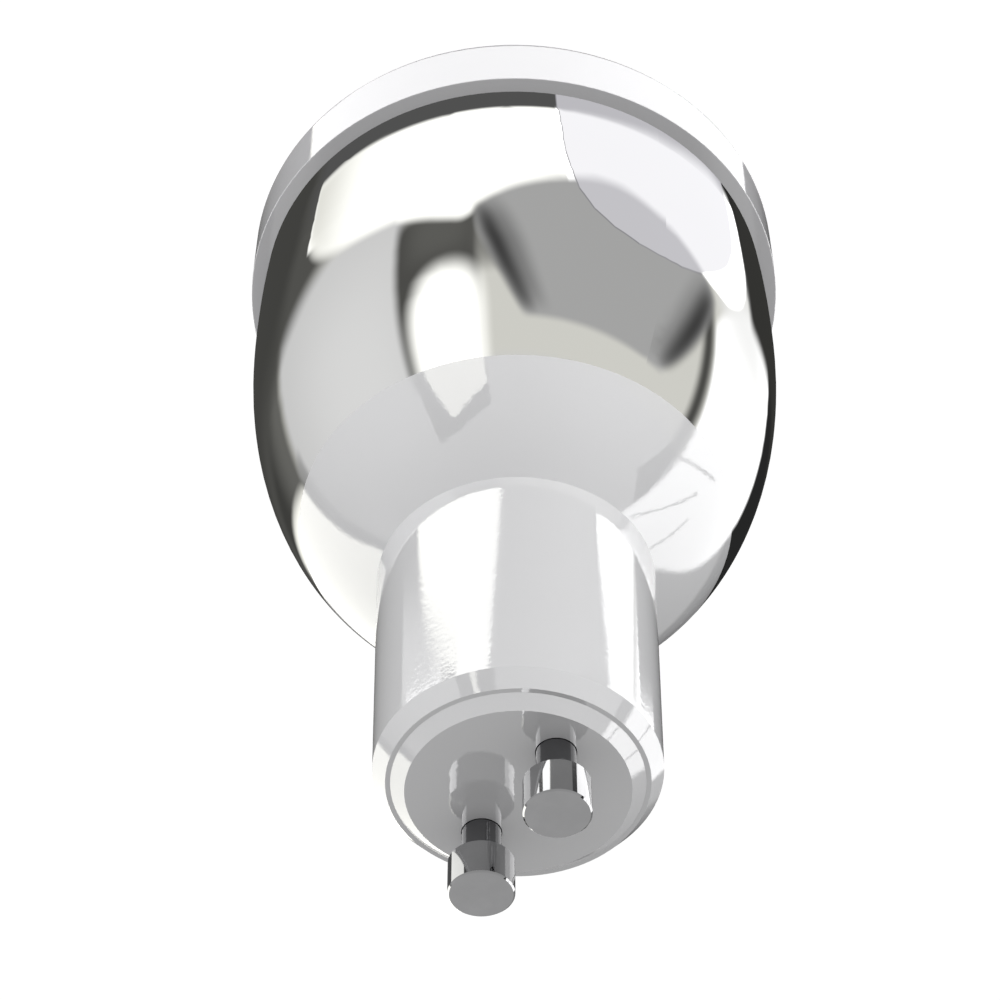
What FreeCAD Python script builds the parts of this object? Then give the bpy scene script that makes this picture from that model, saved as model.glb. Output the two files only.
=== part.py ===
import FreeCAD
import Part

import math
import os

# LED spotlight bulb with a two-pin twist base.
# Millimetres. Z runs from the front face of the bezel (Z = 0) to the contact pins, on the lamp's axis.
# Radii are from that axis, and the two pins lie on the X axis.

# Fits
FIT = 0.1
HOLE_FIT = 0.05

# Bowl, one outer surface for the chrome shell and the rear housing
BOWL_RADIUS = 23.14
BOWL_WIDEST_Z = 15.6
BOWL_FRONT_REACH = 45.0
BOWL_BACK_REACH = 32.8
BOWL_FULLNESS = 2.24
BOWL_SPLIT_INSET = 5.24

# Chrome shell
SHELL_WALL = 1.1
SHELL_RIM_STEP = 0.49
SNAP_DEPTH = 0.35
SNAP_HEIGHT = 1.0
SNAP_FROM_RIM = 1.3
LEDGE_WIDTH = 1.1
LEDGE_THICKNESS = 1.5

# Front bezel
BEZEL_WALL = 1.4
BEZEL_HEIGHT = 6.4
BEZEL_LIP_LAP = 0.8
BEZEL_LIP_THICKNESS = 0.9
BEZEL_LIP_BEVEL = 0.6
BEZEL_FRONT_ROUND = 0.8
BEZEL_BACK_ROUND = 0.05

# Front lens
LENS_SEAT_STEP = 0.65
LENS_THICKNESS = 1.5
LENS_EDGE_BEVEL = 0.25

# Reflector cup
REFLECTOR_FLANGE_WIDTH = 1.6
REFLECTOR_FLANGE_THICKNESS = 0.6
REFLECTOR_THROAT_STEP = 0.6
REFLECTOR_WALL = 0.7
REFLECTOR_DEPTH = 12.0

# Rear housing
SPIGOT_WALL = 1.0
SPIGOT_LENGTH = 3.0
TUBE_RADIUS = 9.3
TUBE_WALL = 1.0
TUBE_SNAP_FROM_TOP = 3.0
TUBE_SNAP_HEIGHT = 1.0
TUBE_SNAP_DEPTH = 0.25
WEB_THICKNESS = 1.6

# Base shell
BASE_WALL = 1.85
BASE_TAPER = 0.37
BASE_BEVEL_HEIGHT = 1.26
CAP_SEAT_WIDTH = 0.48
CAP_SEAT_DEPTH = 2.5

# End cap
CAP_PROUD = 0.81
CAP_LAND_WIDTH = 0.38
CAP_BEVEL_WIDTH = 1.06
CAP_SKIRT_WALL = 1.0
CAP_SKIRT_LENGTH = 4.3
CAP_SKIRT_LAP = 1.01
CAP_BOSS_RADIUS = 3.0
CAP_BOSS_LENGTH = 2.3

# Contact pins
PIN_SPACING = 10.0
PIN_NECK_RADIUS = 1.5
PIN_NECK_LENGTH = 3.0
PIN_HEAD_RADIUS = 2.5
PIN_HEAD_LENGTH = 3.2
PIN_HEAD_BEVEL = 0.13
PIN_SWAGE_RADIUS = 2.2
PIN_SWAGE_THICKNESS = 0.8
PIN_TAIL_RADIUS = 0.8
PIN_TAIL_LENGTH = 1.7

# Light source
CLAMP_EDGE = 2.5
CLAMP_OPENING_STEP = 0.6
CARRIER_WIDTH = 13.5
CARRIER_THICKNESS = 0.8
CARRIER_COVER = 0.9
PAD_THICKNESS = 0.3
PHOSPHOR_RADIUS = 5.0
PHOSPHOR_THICKNESS = 0.4
SCREW_FROM_CARRIER = 2.25
SCREW_RADIUS = 0.9
SCREW_LENGTH = 4.0
SCREW_HEAD_RADIUS = 1.7
SCREW_HEAD_HEIGHT = 0.8
SCREW_SLOT_WIDTH = 0.4
SCREW_SLOT_DEPTH = 0.35

# Heat spreader
SPREADER_CLEARANCE = 0.25
SPREADER_THICKNESS = 3.0
FIN_COUNT = 12
FIN_THICKNESS = 1.2
FIN_INNER_RADIUS = 5.0
FIN_FROM_LEDGE = 0.8
FIN_FROM_BOARD = 4.5

# Driver board and what stands on it
BOARD_THICKNESS = 1.2
BOARD_GRIP = 0.3
BOARD_LENGTH = 27.5
BOARD_FROM_PINS = 2.68
CAN_RADIUS = 4.0
CAN_LENGTH = 11.5
CAN_FROM_WEB = 0.9
CAN_LEG_SPACING = 2.0
CAN_LEG_RADIUS = 0.3
CAN_LEG_REACH = 1.1
FILM_WIDTH = 6.4
FILM_DEPTH = 4.0
FILM_LENGTH = 6.0
FILM_START = 14.5
FILM_ROUND = 0.6
CORE_WIDTH = 11.0
CORE_DEPTH = 5.0
CORE_LENGTH = 10.0
CORE_LEG = 1.6
CORE_START = 2.0
CORE_FROM_WEB = 1.4
WINDING_DEPTH = 7.6
WINDING_ROUND = 1.0
RECTIFIER_SIZE = (5.0, 2.2, 6.0)
RECTIFIER_START = 16.0
RECTIFIER_LEGS = 2
CHIP_SIZE = (3.9, 1.4, 4.9)
CHIP_START = 22.3
CHIP_LEGS = 4
LEG_STANDOFF = 0.1
LEG_REACH = 1.0
LEG_THICKNESS = 0.2
LEG_SHARE = 0.4

# Leads
MAINS_LEAD_RADIUS = 0.55
MAINS_LEAD_OFFSET = 2.0
MAINS_LEAD_LEAN = 60.0
MAINS_LEAD_BEND = 1.8
MAINS_LEAD_FROM_TOP = 5.9
BOARD_ENTRY_BEND = 1.2
RESISTOR_RADIUS = 1.2
RESISTOR_LENGTH = 4.6
RESISTOR_LEG_RADIUS = 0.3
OUTPUT_LEAD_RADIUS = 0.6
OUTPUT_LEAD_SPACING = 5.0
OUTPUT_LEAD_OFFSET = 9.3
OUTPUT_LEAD_START = 1.0
OUTPUT_LEAD_STUB = 0.9
OUTPUT_HOLE_FIT = 0.3

# Radii at the front, from the bowl inwards and outwards
SHELL_RIM_RADIUS = BOWL_RADIUS - SHELL_RIM_STEP
BEZEL_BORE_RADIUS = SHELL_RIM_RADIUS + FIT
BEZEL_RADIUS = BEZEL_BORE_RADIUS + BEZEL_WALL
LENS_SEAT_RADIUS = BEZEL_BORE_RADIUS - LENS_SEAT_STEP
LENS_RADIUS = LENS_SEAT_RADIUS - FIT
BEZEL_LIP_RADIUS = LENS_RADIUS - BEZEL_LIP_LAP
REFLECTOR_MOUTH_RADIUS = LENS_RADIUS - REFLECTOR_FLANGE_WIDTH
SPREADER_RADIUS = SHELL_RIM_RADIUS - SHELL_WALL - SPREADER_CLEARANCE
LEDGE_RADIUS = SPREADER_RADIUS - LEDGE_WIDTH
FIN_OUTER_RADIUS = LEDGE_RADIUS - FIN_FROM_LEDGE

# Radii of the light source, from the phosphor and its carrier outwards
CLAMP_OPENING_RADIUS = PHOSPHOR_RADIUS + CLAMP_OPENING_STEP
REFLECTOR_THROAT_RADIUS = CLAMP_OPENING_RADIUS + REFLECTOR_THROAT_STEP
SCREW_OFFSET = CARRIER_WIDTH / 2 + SCREW_FROM_CARRIER
CLAMP_RADIUS = SCREW_OFFSET + CLAMP_EDGE

# Radii at the base, from the tube inwards and outwards
BORE_RADIUS = TUBE_RADIUS - TUBE_WALL
BOARD_WIDTH = 2 * (BORE_RADIUS + BOARD_GRIP)
BASE_BORE_RADIUS = TUBE_RADIUS + FIT
BASE_RADIUS = BASE_BORE_RADIUS + BASE_WALL
BASE_END_RADIUS = BASE_RADIUS - BASE_TAPER
BASE_MOUTH_RADIUS = BASE_BORE_RADIUS + CAP_SEAT_WIDTH
CAP_RADIUS = BASE_MOUTH_RADIUS - CAP_LAND_WIDTH
CAP_FACE_RADIUS = CAP_RADIUS - CAP_BEVEL_WIDTH


def bowl_height(radius):
    # Height at which the bowl has narrowed to a radius, behind its widest place.
    part = (1 - (radius / BOWL_RADIUS) ** BOWL_FULLNESS) ** (1 / BOWL_FULLNESS)
    return BOWL_WIDEST_Z + BOWL_BACK_REACH * part


# Heights of the bowl and its web
BOWL_SPLIT_Z = bowl_height(BOWL_RADIUS - BOWL_SPLIT_INSET)
BOWL_END_Z = bowl_height(BASE_RADIUS)
WEB_Z = BOWL_END_Z - WEB_THICKNESS

# Heights from the front face to the heat spreader
LENS_BACK_Z = BEZEL_LIP_THICKNESS + LENS_THICKNESS
SHELL_RIM_Z = LENS_BACK_Z + REFLECTOR_FLANGE_THICKNESS
CLAMP_FRONT_Z = SHELL_RIM_Z + REFLECTOR_DEPTH
CARRIER_FRONT_Z = CLAMP_FRONT_Z + CARRIER_COVER
PAD_FRONT_Z = CARRIER_FRONT_Z + CARRIER_THICKNESS
SPREADER_FRONT_Z = PAD_FRONT_Z + PAD_THICKNESS
SPREADER_BACK_Z = SPREADER_FRONT_Z + SPREADER_THICKNESS

# Heights from the web, through the board, to the end of the pins
CORE_START_Z = WEB_Z - CORE_FROM_WEB - CORE_LENGTH
BOARD_BOTTOM_Z = CORE_START_Z - CORE_START
BOARD_TOP_Z = BOARD_BOTTOM_Z + BOARD_LENGTH
FIN_TOP_Z = BOARD_BOTTOM_Z - FIN_FROM_BOARD
PIN_TAIL_END_Z = BOARD_TOP_Z + BOARD_FROM_PINS
SWAGE_Z = PIN_TAIL_END_Z + PIN_TAIL_LENGTH
BOSS_END_Z = SWAGE_Z + PIN_SWAGE_THICKNESS
CAP_SEAT_Z = BOSS_END_Z + CAP_BOSS_LENGTH
BASE_MOUTH_Z = CAP_SEAT_Z + CAP_SEAT_DEPTH
BODY_LENGTH = BASE_MOUTH_Z + CAP_PROUD
PIN_HEAD_Z = BODY_LENGTH + PIN_NECK_LENGTH
PIN_END_Z = PIN_HEAD_Z + PIN_HEAD_LENGTH
SKIRT_Z = CAP_SEAT_Z - CAP_SKIRT_LENGTH
TUBE_TOP_Z = SKIRT_Z + CAP_SKIRT_LAP
TUBE_SNAP_Z = TUBE_TOP_Z - TUBE_SNAP_FROM_TOP

BOWL_STEPS = 9
BOWL_ROUNDS = 40
REFLECTOR_STEPS = 5


def point(radius, z):
    return FreeCAD.Vector(radius, 0, z)


def arc_to(middle, end):
    return ("arc", middle, end)


def curve_to(points):
    return ("curve", points)


def turned(start, *steps):
    # A solid turned about the lamp's axis. A step is a point reached by a straight line, an arc or a curve.
    edges = []
    here = start
    for step in list(steps) + [start]:
        if step[0] == "arc":
            edges.append(Part.Arc(point(*here), point(*step[1]), point(*step[2])).toShape())
            here = step[2]
        elif step[0] == "curve":
            curve = Part.BSplineCurve()
            curve.interpolate([point(*p) for p in [here] + step[1]])
            edges.append(curve.toShape())
            here = step[1][-1]
        else:
            edges.append(Part.LineSegment(point(*here), point(*step)).toShape())
            here = step
    face = Part.Face(Part.Wire(edges))
    return face.revolve(FreeCAD.Vector(0, 0, 0), FreeCAD.Vector(0, 0, 1), 360)


def cylinder(radius, z_from, z_to, x=0.0, y=0.0):
    return Part.makeCylinder(radius, z_to - z_from, FreeCAD.Vector(x, y, z_from))


def block(x_from, x_to, y_from, y_to, z_from, z_to):
    corner = FreeCAD.Vector(x_from, y_from, z_from)
    return Part.makeBox(x_to - x_from, y_to - y_from, z_to - z_from, corner)


def rounded_upright_edges(shape, radius):
    edges = []
    for edge in shape.Edges:
        direction = edge.tangentAt(edge.FirstParameter)
        if abs(direction.z) > math.hypot(direction.x, direction.y):
            edges.append(edge)
    return shape.makeFillet(radius, edges)


def bent_rod(corners, bend_radii, radius):
    # A round rod along straight runs that are joined by tangent arcs.
    corners = [FreeCAD.Vector(*corner) for corner in corners]
    edges = []
    here = corners[0]
    for before, corner, after, bend in zip(corners, corners[1:], corners[2:], bend_radii):
        arriving = (corner - before).normalize()
        leaving = (after - corner).normalize()
        turn = arriving.getAngle(leaving)
        reach = bend * math.tan(turn / 2)
        first = corner - arriving * reach
        last = corner + leaving * reach
        inward = (leaving - arriving).normalize()
        centre = corner + inward * (bend / math.cos(turn / 2))
        edges.append(Part.LineSegment(here, first).toShape())
        edges.append(Part.Arc(first, centre - inward * bend, last).toShape())
        here = last
    edges.append(Part.LineSegment(here, corners[-1]).toShape())
    path = Part.Wire(edges)
    section = Part.Wire(Part.makeCircle(radius, corners[0], corners[1] - corners[0]))
    return path.makePipeShell([section], True, True)


def bowl_radius(z, inset=0.0):
    # Radius at height z of the surface that lies inset inside the bowl's outer surface.
    # height is that of the outer surface's nearest point, which each round comes closer to.
    height = z
    for _ in range(BOWL_ROUNDS):
        reach = BOWL_BACK_REACH if height > BOWL_WIDEST_Z else BOWL_FRONT_REACH
        part = abs(height - BOWL_WIDEST_Z) / reach
        radius = BOWL_RADIUS * (1 - part ** BOWL_FULLNESS) ** (1 / BOWL_FULLNESS)
        slope = BOWL_RADIUS / reach * (part * BOWL_RADIUS / radius) ** (BOWL_FULLNESS - 1)
        slope = slope if height > BOWL_WIDEST_Z else -slope
        normal_length = math.hypot(1, slope)
        height = z + inset * slope / normal_length
    return radius - inset / normal_length


def bowl_curve(z_from, z_to, inset=0.0):
    # The points of that surface after the first one, from one height to another.
    heights = [z_from + (z_to - z_from) * step / BOWL_STEPS for step in range(1, BOWL_STEPS + 1)]
    return [(bowl_radius(z, inset), z) for z in heights]


def corner_middle(radius, z, size, inward):
    # Middle of the round on an outer corner; inward is +1 where the piece lies above it and -1 below.
    cut_back = size * (1 - math.sqrt(0.5))
    return (radius - cut_back, z + inward * cut_back)


def front_bezel():
    snap_z = SHELL_RIM_Z + SNAP_FROM_RIM + FIT
    snap_top = snap_z + SNAP_HEIGHT - 2 * FIT
    bead = SNAP_DEPTH - FIT
    bead_radius = BEZEL_BORE_RADIUS - bead
    return turned(
        (BEZEL_LIP_RADIUS + BEZEL_LIP_BEVEL, 0),
        (BEZEL_RADIUS - BEZEL_FRONT_ROUND, 0),
        arc_to(corner_middle(BEZEL_RADIUS, 0, BEZEL_FRONT_ROUND, 1), (BEZEL_RADIUS, BEZEL_FRONT_ROUND)),
        (BEZEL_RADIUS, BEZEL_HEIGHT - BEZEL_BACK_ROUND),
        arc_to(corner_middle(BEZEL_RADIUS, BEZEL_HEIGHT, BEZEL_BACK_ROUND, -1),
               (BEZEL_RADIUS - BEZEL_BACK_ROUND, BEZEL_HEIGHT)),
        (BEZEL_BORE_RADIUS, BEZEL_HEIGHT),
        (BEZEL_BORE_RADIUS, snap_top),
        (bead_radius, snap_top - bead),
        (bead_radius, snap_z + bead),
        (BEZEL_BORE_RADIUS, snap_z),
        (BEZEL_BORE_RADIUS, SHELL_RIM_Z),
        (LENS_SEAT_RADIUS, SHELL_RIM_Z),
        (LENS_SEAT_RADIUS, BEZEL_LIP_THICKNESS),
        (BEZEL_LIP_RADIUS, BEZEL_LIP_THICKNESS),
        (BEZEL_LIP_RADIUS, BEZEL_LIP_BEVEL),
    )


def front_lens():
    return turned(
        (0, BEZEL_LIP_THICKNESS),
        (LENS_RADIUS, BEZEL_LIP_THICKNESS),
        (LENS_RADIUS, LENS_BACK_Z - LENS_EDGE_BEVEL),
        (LENS_RADIUS - LENS_EDGE_BEVEL, LENS_BACK_Z),
        (0, LENS_BACK_Z),
    )


def reflector_curve(wall):
    # Parabola from the mouth to the throat, as points after the mouth.
    mouth_squared = REFLECTOR_MOUTH_RADIUS ** 2
    throat_squared = REFLECTOR_THROAT_RADIUS ** 2
    points = []
    for step in range(1, REFLECTOR_STEPS + 1):
        share = step / REFLECTOR_STEPS
        squared = mouth_squared + (throat_squared - mouth_squared) * share
        points.append((math.sqrt(squared) + wall, SHELL_RIM_Z + REFLECTOR_DEPTH * share))
    return points


def reflector_cup():
    inside = reflector_curve(0.0)
    outside = reflector_curve(REFLECTOR_WALL)
    outer_mouth = (REFLECTOR_MOUTH_RADIUS + REFLECTOR_WALL, SHELL_RIM_Z)
    return turned(
        (REFLECTOR_MOUTH_RADIUS, SHELL_RIM_Z),
        curve_to(inside),
        outside[-1],
        curve_to(outside[-2::-1] + [outer_mouth]),
        (LENS_RADIUS, SHELL_RIM_Z),
        (LENS_RADIUS, LENS_BACK_Z),
        (REFLECTOR_MOUTH_RADIUS, LENS_BACK_Z),
    )


def chrome_shell():
    snap_z = SHELL_RIM_Z + SNAP_FROM_RIM
    snap_top = snap_z + SNAP_HEIGHT
    groove_radius = SHELL_RIM_RADIUS - SNAP_DEPTH
    ledge_top = SPREADER_BACK_Z + LEDGE_THICKNESS
    inner_start = ledge_top + bowl_radius(ledge_top, SHELL_WALL) - LEDGE_RADIUS
    return turned(
        (SHELL_RIM_RADIUS, SHELL_RIM_Z),
        (SHELL_RIM_RADIUS, snap_z),
        (groove_radius, snap_z + SNAP_DEPTH),
        (groove_radius, snap_top - SNAP_DEPTH),
        (SHELL_RIM_RADIUS, snap_top),
        (SHELL_RIM_RADIUS, BEZEL_HEIGHT),
        (bowl_radius(BEZEL_HEIGHT), BEZEL_HEIGHT),
        curve_to(bowl_curve(BEZEL_HEIGHT, BOWL_SPLIT_Z)),
        (bowl_radius(BOWL_SPLIT_Z, SHELL_WALL), BOWL_SPLIT_Z),
        curve_to(bowl_curve(BOWL_SPLIT_Z, inner_start, SHELL_WALL)),
        (LEDGE_RADIUS, ledge_top),
        (LEDGE_RADIUS, SPREADER_BACK_Z),
        (bowl_radius(SPREADER_BACK_Z, SHELL_WALL), SPREADER_BACK_Z),
        curve_to(bowl_curve(SPREADER_BACK_Z, BEZEL_HEIGHT, SHELL_WALL)),
        (SHELL_RIM_RADIUS - SHELL_WALL, SHELL_RIM_Z),
    )


def board_grooves():
    # Two grooves in the bore for the board's long edges, closed at the board's top end.
    half_width = BOARD_WIDTH / 2 + FIT
    half_thickness = BOARD_THICKNESS / 2 + HOLE_FIT
    return block(-half_width, half_width, -half_thickness, half_thickness, BOWL_SPLIT_Z, BOARD_TOP_Z)


def rear_housing():
    spigot_z = BOWL_SPLIT_Z - SPIGOT_LENGTH
    lap = SHELL_WALL + FIT
    inner = lap + SPIGOT_WALL
    body = turned(
        (bowl_radius(BOWL_SPLIT_Z), BOWL_SPLIT_Z),
        curve_to(bowl_curve(BOWL_SPLIT_Z, BOWL_END_Z)),
        (TUBE_RADIUS, BOWL_END_Z),
        (TUBE_RADIUS, TUBE_SNAP_Z),
        (TUBE_RADIUS - TUBE_SNAP_DEPTH, TUBE_SNAP_Z + TUBE_SNAP_DEPTH),
        (TUBE_RADIUS - TUBE_SNAP_DEPTH, TUBE_SNAP_Z + TUBE_SNAP_HEIGHT - TUBE_SNAP_DEPTH),
        (TUBE_RADIUS, TUBE_SNAP_Z + TUBE_SNAP_HEIGHT),
        (TUBE_RADIUS, TUBE_TOP_Z),
        (BORE_RADIUS, TUBE_TOP_Z),
        (BORE_RADIUS, WEB_Z),
        (bowl_radius(WEB_Z, inner), WEB_Z),
        curve_to(bowl_curve(WEB_Z, spigot_z, inner)),
        (bowl_radius(spigot_z, lap), spigot_z),
        curve_to(bowl_curve(spigot_z, BOWL_SPLIT_Z, lap)),
    )
    return body.cut(board_grooves())


def base_shell():
    bead_z = TUBE_SNAP_Z + FIT
    bead_top = TUBE_SNAP_Z + TUBE_SNAP_HEIGHT - FIT
    bead = TUBE_SNAP_DEPTH
    return turned(
        (BASE_RADIUS, BOWL_END_Z),
        (BASE_END_RADIUS, BASE_MOUTH_Z - BASE_BEVEL_HEIGHT),
        (BASE_MOUTH_RADIUS, BASE_MOUTH_Z),
        (BASE_MOUTH_RADIUS, CAP_SEAT_Z),
        (BASE_BORE_RADIUS, CAP_SEAT_Z),
        (BASE_BORE_RADIUS, bead_top),
        (BASE_BORE_RADIUS - bead, bead_top - bead),
        (BASE_BORE_RADIUS - bead, bead_z + bead),
        (BASE_BORE_RADIUS, bead_z),
        (BASE_BORE_RADIUS, BOWL_END_Z),
    )


def pin_places():
    return (("left", -PIN_SPACING / 2), ("right", PIN_SPACING / 2))


def end_cap():
    # The flange widens from its seat to the mouth of the base shell, where its flat edge closes the joint.
    skirt_radius = BORE_RADIUS - FIT
    cap = turned(
        (0, BODY_LENGTH),
        (CAP_FACE_RADIUS, BODY_LENGTH),
        (CAP_RADIUS, BASE_MOUTH_Z),
        (BASE_MOUTH_RADIUS, BASE_MOUTH_Z),
        (BASE_MOUTH_RADIUS - FIT, CAP_SEAT_Z),
        (skirt_radius, CAP_SEAT_Z),
        (skirt_radius, SKIRT_Z),
        (skirt_radius - CAP_SKIRT_WALL, SKIRT_Z),
        (skirt_radius - CAP_SKIRT_WALL, CAP_SEAT_Z),
        (0, CAP_SEAT_Z),
    )
    inside = cylinder(skirt_radius, SKIRT_Z, CAP_SEAT_Z)
    for _, x in pin_places():
        boss = cylinder(CAP_BOSS_RADIUS, BOSS_END_Z, CAP_SEAT_Z, x)
        cap = cap.fuse(boss.common(inside))
    for _, x in pin_places():
        cap = cap.cut(cylinder(PIN_NECK_RADIUS + HOLE_FIT, BOSS_END_Z, BODY_LENGTH, x))
        cap = cap.cut(cylinder(PIN_SWAGE_RADIUS + HOLE_FIT, SKIRT_Z, BOSS_END_Z, x))
    return cap.removeSplitter()


def contact_pin(x):
    pin = turned(
        (0, PIN_TAIL_END_Z),
        (PIN_TAIL_RADIUS, PIN_TAIL_END_Z),
        (PIN_TAIL_RADIUS, SWAGE_Z),
        (PIN_SWAGE_RADIUS, SWAGE_Z),
        (PIN_SWAGE_RADIUS, BOSS_END_Z),
        (PIN_NECK_RADIUS, BOSS_END_Z),
        (PIN_NECK_RADIUS, PIN_HEAD_Z),
        (PIN_HEAD_RADIUS - PIN_HEAD_BEVEL, PIN_HEAD_Z),
        (PIN_HEAD_RADIUS, PIN_HEAD_Z + PIN_HEAD_BEVEL),
        (PIN_HEAD_RADIUS, PIN_END_Z - PIN_HEAD_BEVEL),
        (PIN_HEAD_RADIUS - PIN_HEAD_BEVEL, PIN_END_Z),
        (0, PIN_END_Z),
    )
    pin.translate(FreeCAD.Vector(x, 0, 0))
    return pin


def screw_places():
    return (-SCREW_OFFSET, SCREW_OFFSET)


def output_lead_places():
    return (("positive", -OUTPUT_LEAD_SPACING / 2), ("negative", OUTPUT_LEAD_SPACING / 2))


def clamp_ring():
    ring = cylinder(CLAMP_RADIUS, CLAMP_FRONT_Z, SPREADER_FRONT_Z)
    ring = ring.cut(cylinder(CLAMP_OPENING_RADIUS, CLAMP_FRONT_Z, SPREADER_FRONT_Z))
    half = CARRIER_WIDTH / 2 + FIT
    ring = ring.cut(block(-half, half, -half, half, CARRIER_FRONT_Z, SPREADER_FRONT_Z))
    for x in screw_places():
        ring = ring.cut(cylinder(SCREW_RADIUS + FIT, CLAMP_FRONT_Z, SPREADER_FRONT_Z, x))
        ring = ring.cut(cylinder(SCREW_HEAD_RADIUS + FIT, CLAMP_FRONT_Z, CARRIER_FRONT_Z, x))
    return ring


def light_carrier():
    half = CARRIER_WIDTH / 2
    return block(-half, half, -half, half, CARRIER_FRONT_Z, PAD_FRONT_Z)


def phosphor_disc():
    return cylinder(PHOSPHOR_RADIUS, CARRIER_FRONT_Z - PHOSPHOR_THICKNESS, CARRIER_FRONT_Z)


def thermal_pad():
    half = CARRIER_WIDTH / 2
    return block(-half, half, -half, half, PAD_FRONT_Z, SPREADER_FRONT_Z)


def clamp_screws():
    screws = []
    head_z = CARRIER_FRONT_Z - SCREW_HEAD_HEIGHT
    slot_half = SCREW_SLOT_WIDTH / 2
    for x in screw_places():
        screw = cylinder(SCREW_HEAD_RADIUS, head_z, CARRIER_FRONT_Z, x)
        screw = screw.fuse(cylinder(SCREW_RADIUS, CARRIER_FRONT_Z, CARRIER_FRONT_Z + SCREW_LENGTH, x))
        slot = block(x - SCREW_HEAD_RADIUS, x + SCREW_HEAD_RADIUS, -slot_half, slot_half,
                     head_z, head_z + SCREW_SLOT_DEPTH)
        screws.append(screw.cut(slot))
    return Part.makeCompound(screws)


def heat_spreader():
    spreader = cylinder(SPREADER_RADIUS, SPREADER_FRONT_Z, SPREADER_BACK_Z)
    for number in range(FIN_COUNT):
        fin = block(FIN_INNER_RADIUS, FIN_OUTER_RADIUS, -FIN_THICKNESS / 2, FIN_THICKNESS / 2,
                    SPREADER_BACK_Z, FIN_TOP_Z)
        fin.rotate(FreeCAD.Vector(0, 0, 0), FreeCAD.Vector(0, 0, 1), number * 360 / FIN_COUNT)
        spreader = spreader.fuse(fin)
    for x in screw_places():
        spreader = spreader.cut(cylinder(SCREW_RADIUS + HOLE_FIT, SPREADER_FRONT_Z, SPREADER_BACK_Z, x))
    for _, x in output_lead_places():
        hole_radius = OUTPUT_LEAD_RADIUS + OUTPUT_HOLE_FIT
        spreader = spreader.cut(
            cylinder(hole_radius, SPREADER_FRONT_Z, SPREADER_BACK_Z, x, OUTPUT_LEAD_OFFSET))
    return spreader.removeSplitter()


def driver_board():
    half_width = BOARD_WIDTH / 2
    half_thickness = BOARD_THICKNESS / 2
    return block(-half_width, half_width, -half_thickness, half_thickness, BOARD_BOTTOM_Z, BOARD_TOP_Z)


def storage_capacitor():
    face_y = -BOARD_THICKNESS / 2
    centre_y = face_y - FIT - CAN_RADIUS
    z_to = WEB_Z - CAN_FROM_WEB
    can = cylinder(CAN_RADIUS, z_to - CAN_LENGTH, z_to, 0, centre_y)
    for x in (-CAN_LEG_SPACING / 2, CAN_LEG_SPACING / 2):
        corners = [(x, centre_y, z_to - CAN_LEG_RADIUS), (x, centre_y, z_to + CAN_LEG_REACH),
                   (x, face_y, z_to + CAN_LEG_REACH)]
        can = can.fuse(bent_rod(corners, [CAN_LEG_REACH - CAN_LEG_RADIUS], CAN_LEG_RADIUS))
    return can


def film_capacitor():
    half = FILM_WIDTH / 2
    z_from = BOARD_BOTTOM_Z + FILM_START
    face_y = BOARD_THICKNESS / 2
    body = block(-half, half, face_y, face_y + FILM_DEPTH, z_from, z_from + FILM_LENGTH)
    return rounded_upright_edges(body, FILM_ROUND)


def winding_hole():
    # The core's middle leg with its clearance, which both the core and the winding are built round.
    middle_y = BOARD_THICKNESS / 2 + WINDING_DEPTH / 2
    return -CORE_LEG, CORE_LEG, middle_y - CORE_DEPTH / 2, middle_y + CORE_DEPTH / 2


def transformer_core():
    leg_from, leg_to, y_from, y_to = winding_hole()
    half = CORE_WIDTH / 2
    z_to = CORE_START_Z + CORE_LENGTH
    core = block(-half, half, y_from, y_to, CORE_START_Z, z_to)
    for x_from, x_to in ((CORE_LEG - half, leg_from), (leg_to, half - CORE_LEG)):
        core = core.cut(block(x_from, x_to, y_from, y_to, CORE_START_Z + CORE_LEG, z_to - CORE_LEG))
    return core


def transformer_winding():
    x_from, x_to, y_from, y_to = winding_hole()
    face_y = BOARD_THICKNESS / 2
    half = CORE_WIDTH / 2 - CORE_LEG - FIT
    z_from = CORE_START_Z + CORE_LEG + FIT
    z_to = CORE_START_Z + CORE_LENGTH - CORE_LEG - FIT
    winding = block(-half, half, face_y, face_y + WINDING_DEPTH, z_from, z_to)
    winding = rounded_upright_edges(winding, WINDING_ROUND)
    return winding.cut(block(x_from - FIT, x_to + FIT, y_from - FIT, y_to + FIT, z_from, z_to))


def chip(size, z_from, legs_per_side):
    # A moulded package on the board's back face, with a row of bent legs along each side.
    width, depth, length = size
    face_y = -BOARD_THICKNESS / 2
    near_y = face_y - LEG_STANDOFF
    body = block(-width / 2, width / 2, near_y - depth, near_y, z_from, z_from + length)
    pitch = length / legs_per_side
    middle_y = near_y - depth / 2
    root = width / 2
    knee = root + LEG_REACH / 2
    tip = root + LEG_REACH
    for number in range(legs_per_side):
        z_low = z_from + pitch * (number + 0.5 - LEG_SHARE / 2)
        z_high = z_low + pitch * LEG_SHARE
        shoulder = block(root, knee, middle_y, middle_y + LEG_THICKNESS, z_low, z_high)
        shank = block(knee - LEG_THICKNESS, knee, middle_y, face_y, z_low, z_high)
        foot = block(knee, tip, face_y - LEG_THICKNESS, face_y, z_low, z_high)
        leg = shoulder.fuse([shank, foot])
        body = body.fuse([leg, leg.mirror(FreeCAD.Vector(0, 0, 0), FreeCAD.Vector(1, 0, 0))])
    return body.removeSplitter()


def bridge_rectifier():
    return chip(RECTIFIER_SIZE, BOARD_BOTTOM_Z + RECTIFIER_START, RECTIFIER_LEGS)


def control_chip():
    return chip(CHIP_SIZE, BOARD_BOTTOM_Z + CHIP_START, CHIP_LEGS)


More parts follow.
